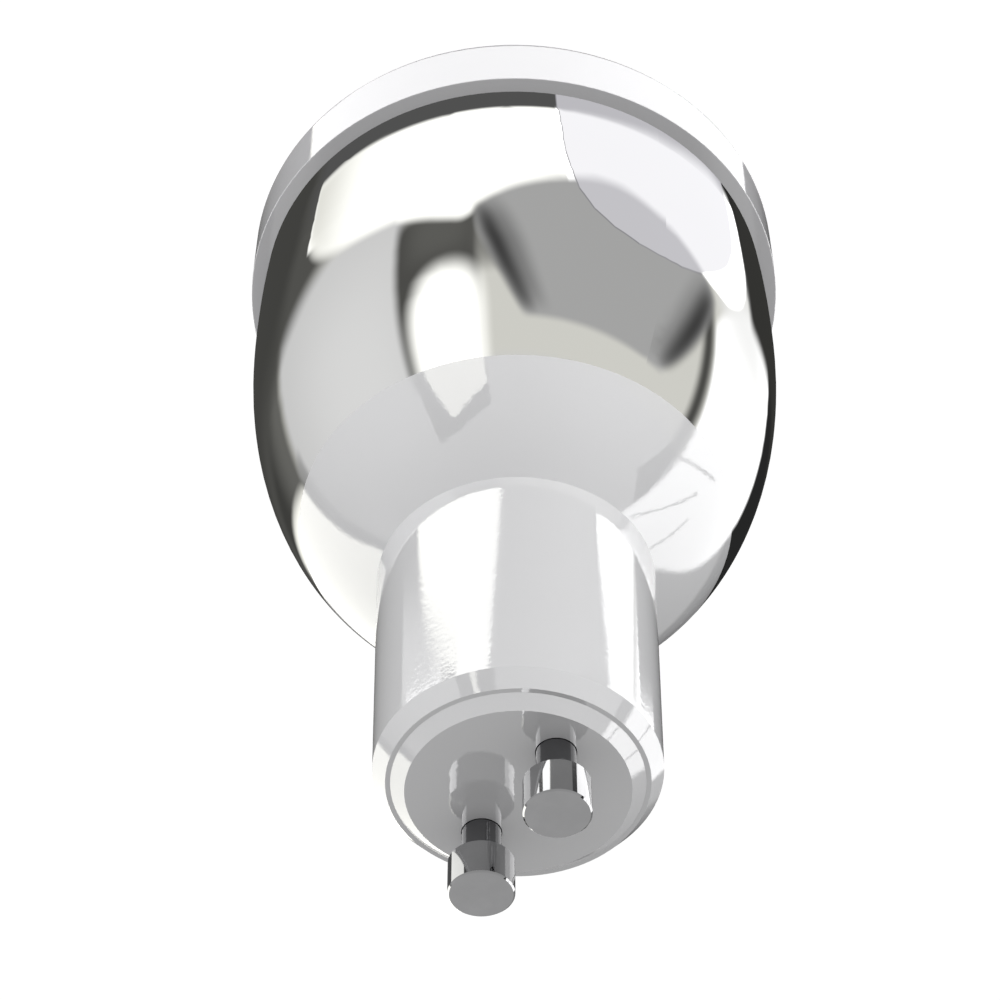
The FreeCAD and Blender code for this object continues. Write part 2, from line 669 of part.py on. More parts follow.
def mains_lead_start(x):
    # The lead's slanted run from the pin's tail to the straight stretch beside the board.
    drop = MAINS_LEAD_OFFSET / math.tan(math.radians(MAINS_LEAD_LEAN))
    first = MAINS_LEAD_BEND * math.tan(math.radians(MAINS_LEAD_LEAN) / 2) + FIT
    knee_z = PIN_TAIL_END_Z - first
    return [(x, 0, PIN_TAIL_END_Z), (x, 0, knee_z), (x, MAINS_LEAD_OFFSET, knee_z - drop)]


def mains_lead_right():
    x = PIN_SPACING / 2
    corners = mains_lead_start(x)
    end_z = BOARD_TOP_Z - MAINS_LEAD_FROM_TOP
    corners.append((x, MAINS_LEAD_OFFSET, end_z))
    corners.append((x, BOARD_THICKNESS / 2, end_z))
    bends = [MAINS_LEAD_BEND, MAINS_LEAD_BEND, BOARD_ENTRY_BEND]
    return bent_rod(corners, bends, MAINS_LEAD_RADIUS)


def resistor_top_z():
    corner_z = mains_lead_start(0)[-1][2]
    return corner_z - MAINS_LEAD_BEND * math.tan(math.radians(MAINS_LEAD_LEAN) / 2) - FIT


def mains_lead_left():
    x = -PIN_SPACING / 2
    corners = mains_lead_start(x)
    corners.append((x, MAINS_LEAD_OFFSET, resistor_top_z()))
    return bent_rod(corners, [MAINS_LEAD_BEND, MAINS_LEAD_BEND], MAINS_LEAD_RADIUS)


def fusible_resistor():
    x = -PIN_SPACING / 2
    top_z = resistor_top_z()
    bottom_z = top_z - RESISTOR_LENGTH
    entry_z = bottom_z - BOARD_ENTRY_BEND - FIT
    body = cylinder(RESISTOR_RADIUS, bottom_z, top_z, x, MAINS_LEAD_OFFSET)
    leg = bent_rod([(x, MAINS_LEAD_OFFSET, bottom_z), (x, MAINS_LEAD_OFFSET, entry_z),
                    (x, BOARD_THICKNESS / 2, entry_z)], [BOARD_ENTRY_BEND], RESISTOR_LEG_RADIUS)
    return body.fuse(leg)


def output_lead(x):
    board_y = BOARD_THICKNESS / 2
    start_z = BOARD_BOTTOM_Z + OUTPUT_LEAD_START
    corners = [(x, board_y, start_z), (x, OUTPUT_LEAD_OFFSET, start_z),
               (x, OUTPUT_LEAD_OFFSET, SPREADER_FRONT_Z)]
    bend = OUTPUT_LEAD_OFFSET - board_y - OUTPUT_LEAD_STUB
    return bent_rod(corners, [bend], OUTPUT_LEAD_RADIUS)


def all_pieces():
    pieces = {
        "front_bezel": front_bezel(),
        "front_lens": front_lens(),
        "reflector_cup": reflector_cup(),
        "clamp_ring": clamp_ring(),
        "clamp_screws": clamp_screws(),
        "light_carrier": light_carrier(),
        "phosphor_disc": phosphor_disc(),
        "thermal_pad": thermal_pad(),
        "heat_spreader": heat_spreader(),
        "chrome_shell": chrome_shell(),
        "rear_housing": rear_housing(),
        "base_shell": base_shell(),
        "end_cap": end_cap(),
        "driver_board": driver_board(),
        "storage_capacitor": storage_capacitor(),
        "film_capacitor": film_capacitor(),
        "transformer_core": transformer_core(),
        "transformer_winding": transformer_winding(),
        "bridge_rectifier": bridge_rectifier(),
        "control_chip": control_chip(),
        "fusible_resistor": fusible_resistor(),
        "mains_lead_left": mains_lead_left(),
        "mains_lead_right": mains_lead_right(),
    }
    for side, x in pin_places():
        pieces["contact_pin_" + side] = contact_pin(x)
    for sign, x in output_lead_places():
        pieces["output_lead_" + sign] = output_lead(x)
    return pieces


os.makedirs("parts", exist_ok=True)
for name, shape in all_pieces().items():
    shape.exportStep("parts/" + name + ".step")
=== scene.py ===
import math

import bpy
from mathutils import Matrix, Vector


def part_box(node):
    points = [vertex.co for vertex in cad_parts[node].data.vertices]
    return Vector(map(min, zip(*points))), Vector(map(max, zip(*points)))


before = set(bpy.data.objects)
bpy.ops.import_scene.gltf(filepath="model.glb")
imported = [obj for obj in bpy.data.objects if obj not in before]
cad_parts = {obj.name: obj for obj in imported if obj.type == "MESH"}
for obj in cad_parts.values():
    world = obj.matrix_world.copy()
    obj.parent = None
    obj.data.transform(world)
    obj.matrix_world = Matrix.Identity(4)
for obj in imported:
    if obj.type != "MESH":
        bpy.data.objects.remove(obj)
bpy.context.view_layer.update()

# Camera, at the photograph's viewing angle: its distance from the lamp's axis and height, where it looks,
# and its roll, which turns it over so that the pins point down in the picture.
CAMERA_AZIMUTH = math.radians(33.76)
CAMERA_REACH = 0.13908
CAMERA_HEIGHT = 0.20415
VIEW_AZIMUTH = math.radians(33.22)
VIEW_TILT = math.radians(50.67)
VIEW_ROLL = math.radians(179.88)
CAMERA_LENS = 94.06
CAMERA_SENSOR = 36.0
CAMERA_CLIP = 0.01

# Floor: its side, its reflectance where other surfaces see it and where the camera does,
# and the paper white that the camera sees besides.
FLOOR_SIZE = 4.0
FLOOR_WHITE = 0.7
FLOOR_SHADOW = 0.36
FLOOR_PAPER = 0.89

# Lights: name, bearing and height in degrees seen from the lamp, width and depth, and power in watts.
# Bearing 0 is towards the camera, and it runs to the picture's right.
LIGHT_DISTANCE = 1.0
LIGHTS = (
    ("key_light", 0.0, 7.0, 0.9, 0.4, 5.6),
    ("left_light", -95.0, 4.0, 0.7, 0.1, 2.5),
    ("right_light", 85.0, 4.0, 0.7, 0.1, 3.0),
    ("back_light", 180.0, 20.0, 0.7, 0.4, 0.4),
)

# The even light that matt surfaces get from all round, and the level that gloss sees after a matt bounce
SKY_LEVEL = 0.35
SECOND_LEVEL = 0.2

# Contact pins: the length of a head, and how far one tone runs over into the next
PIN_HEAD_LENGTH = 0.0032
PIN_TONE_EDGE = 0.0001
# The neck's darker tone is painted shade under the pin's head, and the end's slightly brighter tone is
# painted light on its end face.
PIN_NECK_PAINTED_SHADE = (0.16, 0.16, 0.165, 1.0)
PIN_SIDE = (0.42, 0.42, 0.425, 1.0)
PIN_END_PAINTED_LIGHT = (0.45, 0.45, 0.455, 1.0)
PIN_ROUGHNESS = (0.02, 0.06)

# Surfaces: most noise values lie between these two, and the wear is this much finer than the mottle.
NOISE_LOW = 0.3
NOISE_HIGH = 0.7
WEAR_FINENESS = 3.7
GLOSSY_ROUGHNESS = (0.02, 0.05)
GLOSSY_IOR = 2.3
GLOSSY_MOTTLE = 0.012
LENS_COLOUR = (0.97, 0.98, 0.98, 1.0)
LENS_IOR = 1.49
REFLECTOR_COLOUR = (0.88, 0.88, 0.87, 1.0)
CHROME_DARKER = (0.93, 0.93, 0.92, 1.0)
CHROME_PALER = (0.96, 0.96, 0.955, 1.0)


def feed(tree, socket, value):
    if isinstance(value, bpy.types.NodeSocket):
        tree.links.new(value, socket)
    else:
        socket.default_value = value


def add(tree, kind, **settings):
    node = tree.nodes.new("ShaderNode" + kind)
    for name, value in settings.items():
        setattr(node, name, value)
    return node


def arithmetic(tree, operation, *values):
    node = add(tree, "Math", operation=operation)
    for socket, value in zip(node.inputs, values):
        feed(tree, socket, value)
    return node.outputs[0]


def dot(tree, vector, other):
    node = add(tree, "VectorMath", operation="DOT_PRODUCT")
    feed(tree, node.inputs[0], vector)
    feed(tree, node.inputs[1], other)
    return node.outputs["Value"]


def ramp(tree, value, low, high, to_low=0.0, to_high=1.0):
    node = add(tree, "MapRange", interpolation_type="SMOOTHSTEP")
    for name, number in (("Value", value), ("From Min", low), ("From Max", high),
                         ("To Min", to_low), ("To Max", to_high)):
        feed(tree, node.inputs[name], number)
    return node.outputs["Result"]


def mixed(tree, share, first, second):
    node = add(tree, "Mix", data_type="RGBA")
    feed(tree, node.inputs["Factor"], share)
    feed(tree, node.inputs["A"], first)
    feed(tree, node.inputs["B"], second)
    return node.outputs["Result"]


def place_on_object(tree):
    return add(tree, "TexCoord").outputs["Object"]


def noise(tree, scale, detail=2.0):
    node = add(tree, "TexNoise")
    node.inputs["Scale"].default_value = scale
    node.inputs["Detail"].default_value = detail
    tree.links.new(place_on_object(tree), node.inputs["Vector"])
    return node.outputs["Fac"]


def spread(tree, value, low, high):
    # Noise, spread from its own range to the one given.
    return ramp(tree, value, NOISE_LOW, NOISE_HIGH, low, high)


def shade(colour, factor):
    return tuple(channel * factor for channel in colour) + (1.0,)


def grey(level):
    return (level, level, level, 1.0)


def seen_directly(tree, ray):
    # 1 for what the camera sees, by itself or through clear plastic.
    return arithmetic(tree, "MAXIMUM", ray.outputs["Is Camera Ray"], ray.outputs["Is Transmission Ray"])


def new_material(name):
    material = bpy.data.materials.new(name)
    material.use_nodes = True
    tree = material.node_tree
    shader = tree.nodes["Principled BSDF"]
    return material, tree, shader


def bump(tree, shader, height, distance):
    node = add(tree, "Bump")
    node.inputs["Distance"].default_value = distance
    node.inputs["Strength"].default_value = 1.0
    tree.links.new(height, node.inputs["Height"])
    tree.links.new(node.outputs["Normal"], shader.inputs["Normal"])


def finish(name, colour, rough, metallic=0.0, ior=1.5, mottle=0.04, mottle_scale=120.0,
           grain_scale=2500.0, grain=0.000004):
    # A surface with slow colour variation, uneven gloss and a fine grain.
    # rough is its least and most roughness, and grain the height of its grain.
    material, tree, shader = new_material(name)
    patches = noise(tree, mottle_scale, detail=3.0)
    tree.links.new(mixed(tree, patches, shade(colour, 1 - mottle), shade(colour, 1 + mottle)),
                   shader.inputs["Base Color"])
    wear = noise(tree, mottle_scale * WEAR_FINENESS, detail=4.0)
    tree.links.new(spread(tree, wear, *rough), shader.inputs["Roughness"])
    shader.inputs["Metallic"].default_value = metallic
    shader.inputs["IOR"].default_value = ior
    bump(tree, shader, noise(tree, grain_scale), grain)
    return material


# The studio round the lamp is painted in the world as plain lit and dark cards, by direction from the lamp.
# A card's corners are bearing and dip below the horizon in degrees. They bound a convex outline, with its
# inside to the left of each edge. soft is the width of the blurred edge, one for all edges or one for each.
# level may be a pair, for the other surfaces and for the chrome. on_chrome and on_rest say how much
# of the card the chrome and the other surfaces show.
# A level of 1 is paper white. Glossy plastic mirrors only part of what it sees, so BRIGHT is its white.
# Corners are rounded by about the width of the edge's blur, times CORNER_ROUNDING.
NEUTRAL = (1.0, 1.0, 1.0)
OLIVE = (1.0, 0.995, 0.93)
WARM = (1.0, 1.0, 0.965)
COOL = (0.985, 0.975, 1.04)
CORNER_ROUNDING = 1.0
BRIGHT = 2.6
CHROME_WHITE = 1.25
SOFT_WHITE = (BRIGHT, CHROME_WHITE)

# Behind the cards is a grey backdrop, a little darker overhead: its two levels, and the dips between
# which one turns into the other.
BACKDROP_OVERHEAD = 0.56
BACKDROP_AROUND = 0.62
BACKDROP_TURN = (-60.0, -15.0)


def card(corners, soft, level, tint=NEUTRAL, on_chrome=1.0, on_rest=1.0):
    return corners, soft, level, tint, on_chrome, on_rest


def chrome_card(corners, soft, level, tint=NEUTRAL, share=1.0):
    return card(corners, soft, level, tint, on_chrome=share, on_rest=0.0)


def rest_card(corners, soft, level, tint=NEUTRAL):
    return card(corners, soft, level, tint, on_chrome=0.0, on_rest=1.0)


def box(left, right, low, high):
    return [(left, low), (right, low), (right, high), (left, high)]


def strip(x1, y1, x2, y2, width):
    # A straight line of some width from one place to another.
    length = math.hypot(x2 - x1, y2 - y1)
    across = ((y1 - y2) / length * width / 2, (x2 - x1) / length * width / 2)
    return [(x1 - across[0], y1 - across[1]), (x2 - across[0], y2 - across[1]),
            (x2 + across[0], y2 + across[1]), (x1 + across[0], y1 + across[1])]


# The clear card's left and lower edge, which carries a thin dark line that grows finer towards the right.
# Each stretch of the line has a width, a level, and how much of it the chrome shows.
PANE_EDGE = [(24, 69), (24.3, 58), (27.5, 49), (32.5, 44), (40, 40.5), (50, 38.7), (60, 38.7), (70, 40)]
PANE_LINE_END = (81, 42.6)
PANE_LINE_SOFT = 0.3
PANE_LINE = ((0.6, 0.3, 0.9), (0.6, 0.3, 0.9), (0.55, 0.25, 0.9), (0.5, 0.25, 0.9), (0.45, 0.25, 0.9),
             (0.4, 0.3, 0.9), (0.4, 0.3, 0.9), (0.4, 0.3, 0.7))


def pane_line():
    ends = PANE_EDGE[1:] + [PANE_LINE_END]
    return tuple(chrome_card(strip(*start, *end, width), PANE_LINE_SOFT, level, COOL, share)
                 for start, end, (width, level, share) in zip(PANE_EDGE, ends, PANE_LINE))


STUDIO = (
    card(box(100, 200, -95, -25), 30, 0.9),
    card(box(-200, -100, -95, -25), 30, 0.9),
    card(box(152, 200, -80, -20), 20, 0.62),
    card(box(-200, -152, -80, -20), 20, 0.62),
    card(box(-200, 200, -8, 95), 6, 0.645, OLIVE),
    card(box(-112, -43, -9, 46), 5, 0.60),
    card(box(-95, -40, -26, 36), 40, 0.72, on_rest=0.5),
    card(box(-200, 200, 55, 95), 2, 0.085),
    # high lights behind the camera's sides, for the mirror images in the flat end face
    rest_card(box(101, 155, -70, -36), 5, 4.0),
    rest_card(box(-155, -101, -70, -36), 5, 4.0),
    # left: a dark corner, a long white card in it and a dark ground below
    card(box(-200, -112.5, 4, 62), 8, 0.13, OLIVE),
    chrome_card(box(-200, -128, -20, 80), 20, 0.05, OLIVE),
    card(box(-115, -109, -30, 20), 4, 0.30, on_chrome=0.8, on_rest=0.8),
    card([(-200, -26), (-114.5, -26), (-116, 17.5), (-135, 28), (-150, 35), (-165, 40), (-200, 45)],
         3, SOFT_WHITE, OLIVE),
    card([(-200, 37.5), (-113, 38.5), (-95, 42.5), (-76, 47.5), (-76, 58), (-200, 60)], 8, 0.085, OLIVE),
    chrome_card(box(-200, -112, 42, 80), 14, 0.055, OLIVE),
    # middle: a tall white card with rounded corners in a dark frame
    card(box(-45.7, -13.2, -12, 43), 5, 0.075, OLIVE),
    card(box(-40, -17, 30, 44), 10, 0.11, OLIVE),
    rest_card([(-44, -36), (-33, -35.5), (-12, -28), (-12, -8), (-44, -8)], 0.8, 0.04),
    card([(-14, 24), (-5, 24), (-12, 43), (-15, 43)], 9, 0.12, OLIVE),
    rest_card([(-32, -29.3), (-28.5, -28), (-12.5, -19), (-12.5, -5), (-41.5, -5), (-39, -12), (-37, -21),
               (-34.5, -27.5)], 1.5, 1.9, OLIVE),
    chrome_card([(-42, -16), (-12, -16), (-12, 19), (-16, 24.7), (-26, 27.3), (-35.5, 24.7), (-41, 17)],
                9, 1.4, WARM),
    # right: a black card at the back, a large white one with thin lines and its dark edge
    card(box(118, 200, -25, 22), 5, 0.35),
    card(box(118, 200, 22, 62), 5, 0.02),
    card([(89, -50), (112, -50), (126, -19), (135, 10), (137.5, 30), (136, 48), (115, 47.5), (95, 41),
          (90, 38), (85.5, 33), (85, -9), (88.5, -36)], 3, SOFT_WHITE),
    chrome_card(box(92, 124, 37, 51), 14, 0.95),
    rest_card(strip(85, -9, 109, 9, 1.0), 0.6, 0.8),
    rest_card(strip(94.5, -37.5, 105, -2, 1.0), 0.6, 0.8),
    rest_card(strip(115, -26, 111, -7, 1.0), 0.6, 1.0),
    card([(88.5, -36), (85, -8), (79.5, -8), (76.5, -20), (74.5, -27.5)], 0.8, 0.04),
    card(box(80, 85.5, -10, 37), 5, 0.05, OLIVE),
    card([(116, 46.5), (200, 47), (200, 62), (140, 60.5), (128, 57.5), (120, 52.5)], 4, 0.035, OLIVE),
    # white ground
    chrome_card([(-101.5, 57), (-100, 54), (-94, 50.5), (-85, 47.5), (-72, 45.5), (-47, 44), (24, 44),
                 (24, 60), (-96, 59)], 3.5, CHROME_WHITE, WARM),
    chrome_card([(-105, 59.5), (-99.5, 52), (24, 52), (24, 64.8), (-10, 64.8), (-40, 64), (-80, 62)],
                1.2, CHROME_WHITE, WARM),
    rest_card([(-105, 59.5), (-100, 54), (-94, 50.5), (-85, 47.5), (-72, 45.5), (-47, 44), (24, 44),
               (24, 64.8), (-10, 64.8), (-40, 64), (-80, 62)], 1.5, BRIGHT, OLIVE),
    card([(-47, 44.3), (-19, 38.8), (-12, 42), (-6, 46.5), (-6, 50), (-47, 50)], 3.5, SOFT_WHITE, WARM),
    chrome_card([(-105, 59.5), (-99.5, 53), (-94, 50.5), (-85, 47.5), (-83, 47.19), (-83, 61.7)],
                (1.2, 3, 3.5, 3.5, 44, 1.2), 0.78, OLIVE),
    card([(23, 42.5), (96, 42.5), (116, 49), (125, 55), (132, 58.5), (120, 60.5), (80, 63.2), (23, 64.8)],
         1.5, BRIGHT),
    rest_card(box(-97, 123, 54, 70), 1.5, 2.15),
    # on the lamp's white walls only: a grey patch on the left and a dark one on the right
    rest_card([(-104, 39), (-42, 39), (-45, 44.6), (-60, 45.8), (-80, 46.9), (-104, 47.1)], 2, 0.75),
    rest_card([(114, 45.2), (200, 45.0), (200, 53), (114, 53)], 1.2, 0.03),
    # a grey card with dark flanks
    chrome_card([(4, 5.5), (65, 5.5), (77, 24), (89, 39), (84, 43), (75, 46.7), (60, 51), (45, 53.3),
                 (26, 52.7), (15, 51), (2.5, 49), (-7.5, 46), (-15, 42), (-14.5, 36)], 3.5, 0.39),
    chrome_card([(4, 10), (11, 10), (0, 38), (-8, 44), (-15, 42), (-13, 36)], 9, 0.0, share=0.55),
    chrome_card([(4, 8), (7, 8), (-7, 38), (-11, 42), (-14.5, 42), (-13, 36)], 6, 0.0, share=0.9),
    chrome_card([(57, 11), (66, 11), (76, 25), (86, 39), (81, 42), (70, 34), (62, 22)], 9, 0.0, share=0.55),
    chrome_card([(61, 9), (67, 9), (76, 23), (87.5, 39), (83, 41), (74, 33), (67, 22)], 6, 0.0, share=0.9),
    rest_card([(-26, 43.5), (83, 43.5), (77, 46.7), (70, 51.2), (66, 54), (5, 54), (-4, 51.2), (-19, 46.7)],
              1.0, 0.39),
    # stripes for the sides of the pins' heads
    rest_card(box(-180, 180, 39, 43.8), 0.4, 0.12),
    rest_card([(-122, 38), (-56, 38), (-62, 43.7), (-122, 43.7)], 1, 1.7, WARM),
    rest_card(box(82, 100, 38, 43.7), 1, 2.4),
    rest_card(box(-98, -62, 43.8, 45.0), 0.4, 2.2),
    rest_card(box(-62, -49, 43.8, 45.0), 0.4, 0.1),
    rest_card(box(-48, -26, 43.8, 45.0), 0.4, 2.6),
    rest_card(box(52, 75, 43.8, 45.0), 0.4, 0.08),
    rest_card(box(76, 112, 43.8, 45.0), 0.4, 2.2),
    # a clear card in front of the right side, with a thin dark line at its edge
    chrome_card(PANE_EDGE + [(85, 43.5), (100, 49), (115, 55), (132, 61), (132, 69)], 0.5, 0.63, COOL, 0.82),
) + pane_line()


def world_card(tree, place, mirrored, corners, soft, level, tint, on_chrome, on_rest, below):
    # One card of the studio, over what lies below it.
    widths = soft if isinstance(soft, tuple) else (soft,) * len(corners)
    nearest = None
    for (x1, y1), (x2, y2), width in zip(corners, corners[1:] + corners[:1], widths):
        # how far the place lies inside this edge, counted in widths of its blur
        scale = math.hypot(x2 - x1, y2 - y1) * width
        inward = ((y1 - y2) / scale, (x2 - x1) / scale)
        offset = -(inward[0] * x1 + inward[1] * y1)
        depth = dot(tree, place, (inward[0], inward[1], offset))
        if nearest is None:
            nearest = depth
        else:
            nearest = arithmetic(tree, "SMOOTH_MIN", nearest, depth, CORNER_ROUNDING)
    share = on_rest
    if on_chrome != on_rest:
        share = arithmetic(tree, "MULTIPLY_ADD", mirrored, on_chrome - on_rest, on_rest)
    cover = ramp(tree, nearest, -0.5, 0.5, 0.0, share)
    if isinstance(level, tuple):
        rest_level, chrome_level = level
        colour = mixed(tree, mirrored, shade(tint, rest_level), shade(tint, chrome_level))
    else:
        colour = shade(tint, level)
    return mixed(tree, cover, below, colour)


def bearing_and_dip(tree):
    # The ray's direction as (bearing, dip, 1), in degrees.
    direction = add(tree, "TexCoord").outputs["Generated"]
    towards = (math.cos(CAMERA_AZIMUTH), math.sin(CAMERA_AZIMUTH), 0.0)
    right = (math.sin(CAMERA_AZIMUTH), -math.cos(CAMERA_AZIMUTH), 0.0)
    angle = arithmetic(tree, "ARCTAN2", dot(tree, direction, right), dot(tree, direction, towards))
    drop = arithmetic(tree, "ARCSINE", dot(tree, direction, (0.0, 0.0, -1.0)))
    dip = arithmetic(tree, "DEGREES", drop)
    join = add(tree, "CombineXYZ")
    feed(tree, join.inputs["X"], arithmetic(tree, "DEGREES", angle))
    feed(tree, join.inputs["Y"], dip)
    join.inputs["Z"].default_value = 1.0
    return join.outputs["Vector"], dip


def background(tree, colour, strength=1.0):
    node = add(tree, "Background")
    feed(tree, node.inputs["Color"], colour)
    node.inputs["Strength"].default_value = strength
    return node.outputs[0]


def choice(tree, share, first, second):
    node = add(tree, "MixShader")
    for socket, output in zip(node.inputs, (share, first, second)):
        tree.links.new(output, socket)
    return node.outputs[0]


def studio_world():
    # Mirror images show the studio, matt surfaces an even soft light, and the camera plain white paper.
    world = bpy.data.worlds.new("studio")
    bpy.context.scene.world = world
    world.use_nodes = True
    tree = world.node_tree
    tree.nodes.clear()
    ray = add(tree, "LightPath")
    place, dip = bearing_and_dip(tree)

    studio = mixed(tree, ramp(tree, dip, *BACKDROP_TURN), grey(BACKDROP_OVERHEAD), grey(BACKDROP_AROUND))
    # in the photograph's view only the chrome mirrors without any blur
    mirrored = ray.outputs["Is Singular Ray"]
    for row in STUDIO:
        studio = world_card(tree, place, mirrored, *row, studio)
    bounced = arithmetic(tree, "GREATER_THAN", ray.outputs["Diffuse Depth"], 0.5)
    studio = mixed(tree, bounced, studio, grey(SECOND_LEVEL))

    soft_light = background(tree, grey(1.0), SKY_LEVEL)
    lit = choice(tree, ray.outputs["Is Glossy Ray"], soft_light, background(tree, studio))
    output = add(tree, "OutputWorld")
    tree.links.new(choice(tree, seen_directly(tree, ray), lit, background(tree, grey(1.0))),
                   output.inputs["Surface"])


def floor():
    half = FLOOR_SIZE / 2
    corners = [(-half, -half, 0), (half, -half, 0), (half, half, 0), (-half, half, 0)]
    mesh = bpy.data.meshes.new("floor")
    mesh.from_pydata(corners, [], [(0, 1, 2, 3)])
    thing = bpy.data.objects.new("floor", mesh)
    bpy.context.scene.collection.objects.link(thing)
    material = bpy.data.materials.new("floor_paper")
    material.use_nodes = True
    tree = material.node_tree
    tree.nodes.clear()
    direct = seen_directly(tree, add(tree, "LightPath"))
    lit = add(tree, "BsdfDiffuse")
    tree.links.new(mixed(tree, direct, grey(FLOOR_WHITE), grey(FLOOR_SHADOW)), lit.inputs["Color"])
    paper = add(tree, "Emission")
    tree.links.new(arithmetic(tree, "MULTIPLY", direct, FLOOR_PAPER), paper.inputs["Strength"])
    both = add(tree, "AddShader")
    tree.links.new(lit.outputs[0], both.inputs[0])
    tree.links.new(paper.outputs[0], both.inputs[1])
    output = add(tree, "OutputMaterial")
    tree.links.new(both.outputs[0], output.inputs["Surface"])
    mesh.materials.append(material)
    thing.visible_glossy = False


def towards_bearing(bearing, height):
    azimuth = CAMERA_AZIMUTH - math.radians(bearing)
    rise = math.radians(height)
    return Vector((math.cos(azimuth) * math.cos(rise), math.sin(azimuth) * math.cos(rise), math.sin(rise)))


def area_light(name, bearing, height, width, depth, watts):
    data = bpy.data.lights.new(name, "AREA")
    data.shape = "RECTANGLE"
    data.size = width
    data.size_y = depth
    data.energy = watts
    light = bpy.data.objects.new(name, data)
    bpy.context.scene.collection.objects.link(light)
    direction = towards_bearing(bearing, height)
    light.location = direction * LIGHT_DISTANCE
    light.rotation_euler = direction.to_track_quat("Z", "Y").to_euler()
    light.visible_glossy = False
    light.visible_camera = False


def camera():
    data = bpy.data.cameras.new("camera")
    data.lens = CAMERA_LENS
    data.sensor_width = CAMERA_SENSOR
    data.clip_start = CAMERA_CLIP
    thing = bpy.data.objects.new("camera", data)
    bpy.context.scene.collection.objects.link(thing)
    place = Vector((CAMERA_REACH * math.cos(CAMERA_AZIMUTH), CAMERA_REACH * math.sin(CAMERA_AZIMUTH),
                    CAMERA_HEIGHT))
    turn = Matrix.Rotation(VIEW_AZIMUTH + math.pi / 2, 4, "Z")
    tilt = Matrix.Rotation(math.pi / 2 - VIEW_TILT, 4, "X")
    roll = Matrix.Rotation(VIEW_ROLL, 4, "Z")
    thing.matrix_world = Matrix.Translation(place) @ turn @ tilt @ roll
    bpy.context.scene.camera = thing


def lens_material():
    # Clear moulded plastic, with a faint unevenness.
    material, tree, shader = new_material("clear_lens")
    shader.inputs["Base Color"].default_value = LENS_COLOUR
    shader.inputs["Transmission Weight"].default_value = 1.0
    shader.inputs["IOR"].default_value = LENS_IOR
    tree.links.new(spread(tree, noise(tree, scale=400.0), 0.0, 0.04), shader.inputs["Roughness"])
    bump(tree, shader, noise(tree, scale=900.0), distance=0.000003)
    return material


def reflector_material():
    # Bright metal, dimpled all over to spread the light.
    material, tree, shader = new_material("bright_reflector")
    shader.inputs["Base Color"].default_value = REFLECTOR_COLOUR
    shader.inputs["Metallic"].default_value = 1.0
    cells = add(tree, "TexVoronoi")
    cells.inputs["Scale"].default_value = 620.0
    tree.links.new(place_on_object(tree), cells.inputs["Vector"])
    tree.links.new(spread(tree, noise(tree, scale=700.0), 0.04, 0.12), shader.inputs["Roughness"])
    bump(tree, shader, cells.outputs["Distance"], distance=0.00035)
    return material


def pin_material(name, node):
    # Turned metal, with fine rings about the pin's own axis, a neck darkened with painted shade and an end
    # face brightened with painted light.
    lowest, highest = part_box(node)
    axis_x = (lowest.x + highest.x) / 2
    head_start = highest.z - PIN_HEAD_LENGTH
    material, tree, shader = new_material(name)
    place = add(tree, "VectorMath", operation="SUBTRACT")
    tree.links.new(place_on_object(tree), place.inputs[0])
    place.inputs[1].default_value = (axis_x, 0.0, 0.0)
    rings = add(tree, "TexWave", wave_type="RINGS", rings_direction="Z")
    rings.inputs["Scale"].default_value = 2200.0
    rings.inputs["Distortion"].default_value = 1.5
    rings.inputs["Detail"].default_value = 1.0
    tree.links.new(place.outputs[0], rings.inputs["Vector"])
    height = dot(tree, place_on_object(tree), (0.0, 0.0, 1.0))
    # painted shade on the neck under the head, then painted light on the end face
    metal = mixed(tree, ramp(tree, height, head_start - PIN_TONE_EDGE, head_start), PIN_NECK_PAINTED_SHADE, PIN_SIDE)
    metal = mixed(tree, ramp(tree, height, highest.z - PIN_TONE_EDGE, highest.z), metal, PIN_END_PAINTED_LIGHT)
    scaled = add(tree, "VectorMath", operation="SCALE")
    tree.links.new(metal, scaled.inputs[0])
    variation = noise(tree, scale=500.0, detail=3.0)
    tree.links.new(spread(tree, variation, 0.97, 1.03), scaled.inputs["Scale"])
    tree.links.new(scaled.outputs[0], shader.inputs["Base Color"])
    shader.inputs["Metallic"].default_value = 1.0
    tree.links.new(ramp(tree, rings.outputs["Fac"], 0.0, 1.0, *PIN_ROUGHNESS), shader.inputs["Roughness"])
    bump(tree, shader, rings.outputs["Fac"], distance=0.0000012)
    return material


def chrome_material():
    # Bright plating: a clean mirror, with very slow waves and a little variation in tone.
    material, tree, shader = new_material("mirror_chrome")
    tone = mixed(tree, noise(tree, scale=60.0), CHROME_DARKER, CHROME_PALER)
    tree.links.new(tone, shader.inputs["Base Color"])
    shader.inputs["Metallic"].default_value = 1.0
    shader.inputs["Roughness"].default_value = 0.0
    bump(tree, shader, noise(tree, scale=90.0, detail=1.0), distance=0.000002)
    return material


def glossy_plastic(name, colour):
    return finish(name, colour, GLOSSY_ROUGHNESS, ior=GLOSSY_IOR, mottle=GLOSSY_MOTTLE)


def dress(node, material):
    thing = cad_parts[node]
    if not thing.material_slots:
        thing.data.materials.append(material)
    for slot in thing.material_slots:
        slot.material = material


def dress_outside():
    white = glossy_plastic("white_plastic", (0.86, 0.86, 0.87))
    for node in ("rear_housing", "base_shell", "end_cap"):
        dress(node, white)
    # The bezel keeps a faint lavender tint of its own, and its white is a shade greyer than the other white
    # plastic: painted shade for its step beside the bowl.
    dress("front_bezel", glossy_plastic("white_rim_plastic_painted_shade", (0.785, 0.78, 0.80)))
    # the chrome would mirror the bezel's step as a white ring
    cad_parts["front_bezel"].visible_glossy = False
    dress("chrome_shell", chrome_material())
    dress("contact_pin_left", pin_material("dark_nickel_left", "contact_pin_left"))
    dress("contact_pin_right", pin_material("dark_nickel_right", "contact_pin_right"))


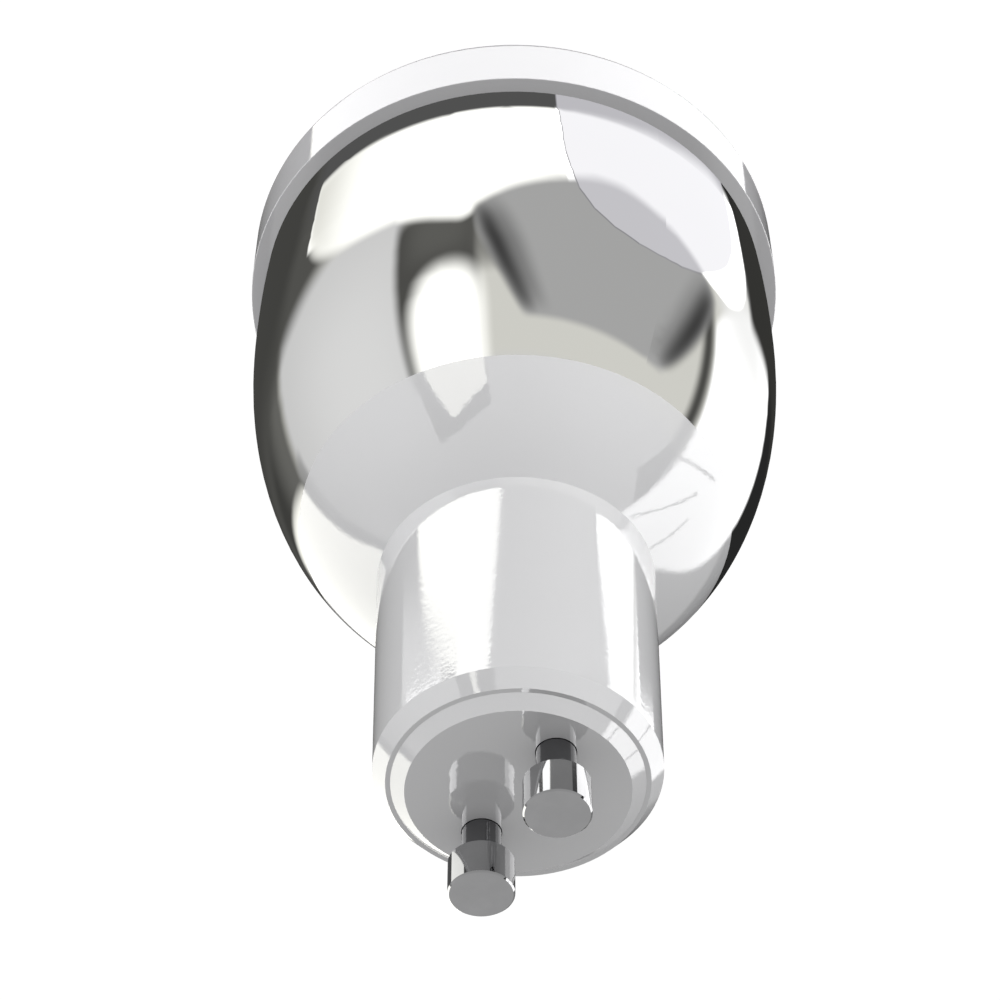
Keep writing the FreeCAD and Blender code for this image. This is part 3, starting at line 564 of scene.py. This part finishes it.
def dress_light_source():
    dress("front_lens", lens_material())
    dress("reflector_cup", reflector_material())
    dress("clamp_ring", finish("clamp_plastic", (0.78, 0.77, 0.74), (0.35, 0.5)))
    dress("clamp_screws", finish("screw_steel", (0.55, 0.54, 0.52), (0.2, 0.35), metallic=1.0))
    dress("light_carrier", finish("carrier_ceramic", (0.84, 0.83, 0.8), (0.5, 0.65)))
    dress("phosphor_disc", finish("phosphor", (0.9, 0.74, 0.2), (0.5, 0.6), mottle=0.08, grain=0.00002))
    dress("thermal_pad", finish("pad_rubber", (0.42, 0.45, 0.5), (0.7, 0.85), mottle=0.06))
    dress("heat_spreader", finish("spreader_aluminium", (0.72, 0.72, 0.73), (0.35, 0.5), metallic=1.0,
                                  grain=0.00001))


def dress_driver():
    dress("driver_board", finish("board_laminate", (0.05, 0.25, 0.11), (0.3, 0.45), mottle=0.12,
                                 mottle_scale=900.0))
    dress("storage_capacitor", finish("capacitor_sleeve", (0.03, 0.035, 0.05), (0.3, 0.4), mottle=0.1))
    dress("film_capacitor", finish("film_case", (0.45, 0.05, 0.03), (0.25, 0.4), mottle=0.08))
    dress("transformer_core", finish("ferrite", (0.07, 0.07, 0.075), (0.4, 0.6), mottle=0.15,
                                     mottle_scale=900.0))
    dress("transformer_winding", finish("winding_tape", (0.75, 0.55, 0.12), (0.3, 0.4), mottle=0.06))
    black = finish("chip_black", (0.03, 0.03, 0.032), (0.45, 0.6), mottle=0.1, grain=0.00001)
    dress("bridge_rectifier", black)
    dress("control_chip", black)
    dress("fusible_resistor", finish("resistor_coat", (0.3, 0.42, 0.5), (0.35, 0.5), mottle=0.06))


def dress_leads():
    sleeve = finish("mains_sleeve", (0.6, 0.6, 0.6), (0.4, 0.5))
    dress("mains_lead_left", sleeve)
    dress("mains_lead_right", sleeve)
    dress("output_lead_positive", finish("positive_sleeve", (0.6, 0.04, 0.03), (0.4, 0.5)))
    dress("output_lead_negative", finish("negative_sleeve", (0.03, 0.03, 0.03), (0.4, 0.5)))


camera()
floor()
studio_world()
for light in LIGHTS:
    area_light(*light)
dress_outside()
dress_light_source()
dress_driver()
dress_leads()

bpy.context.scene.view_settings.view_transform = "Standard"
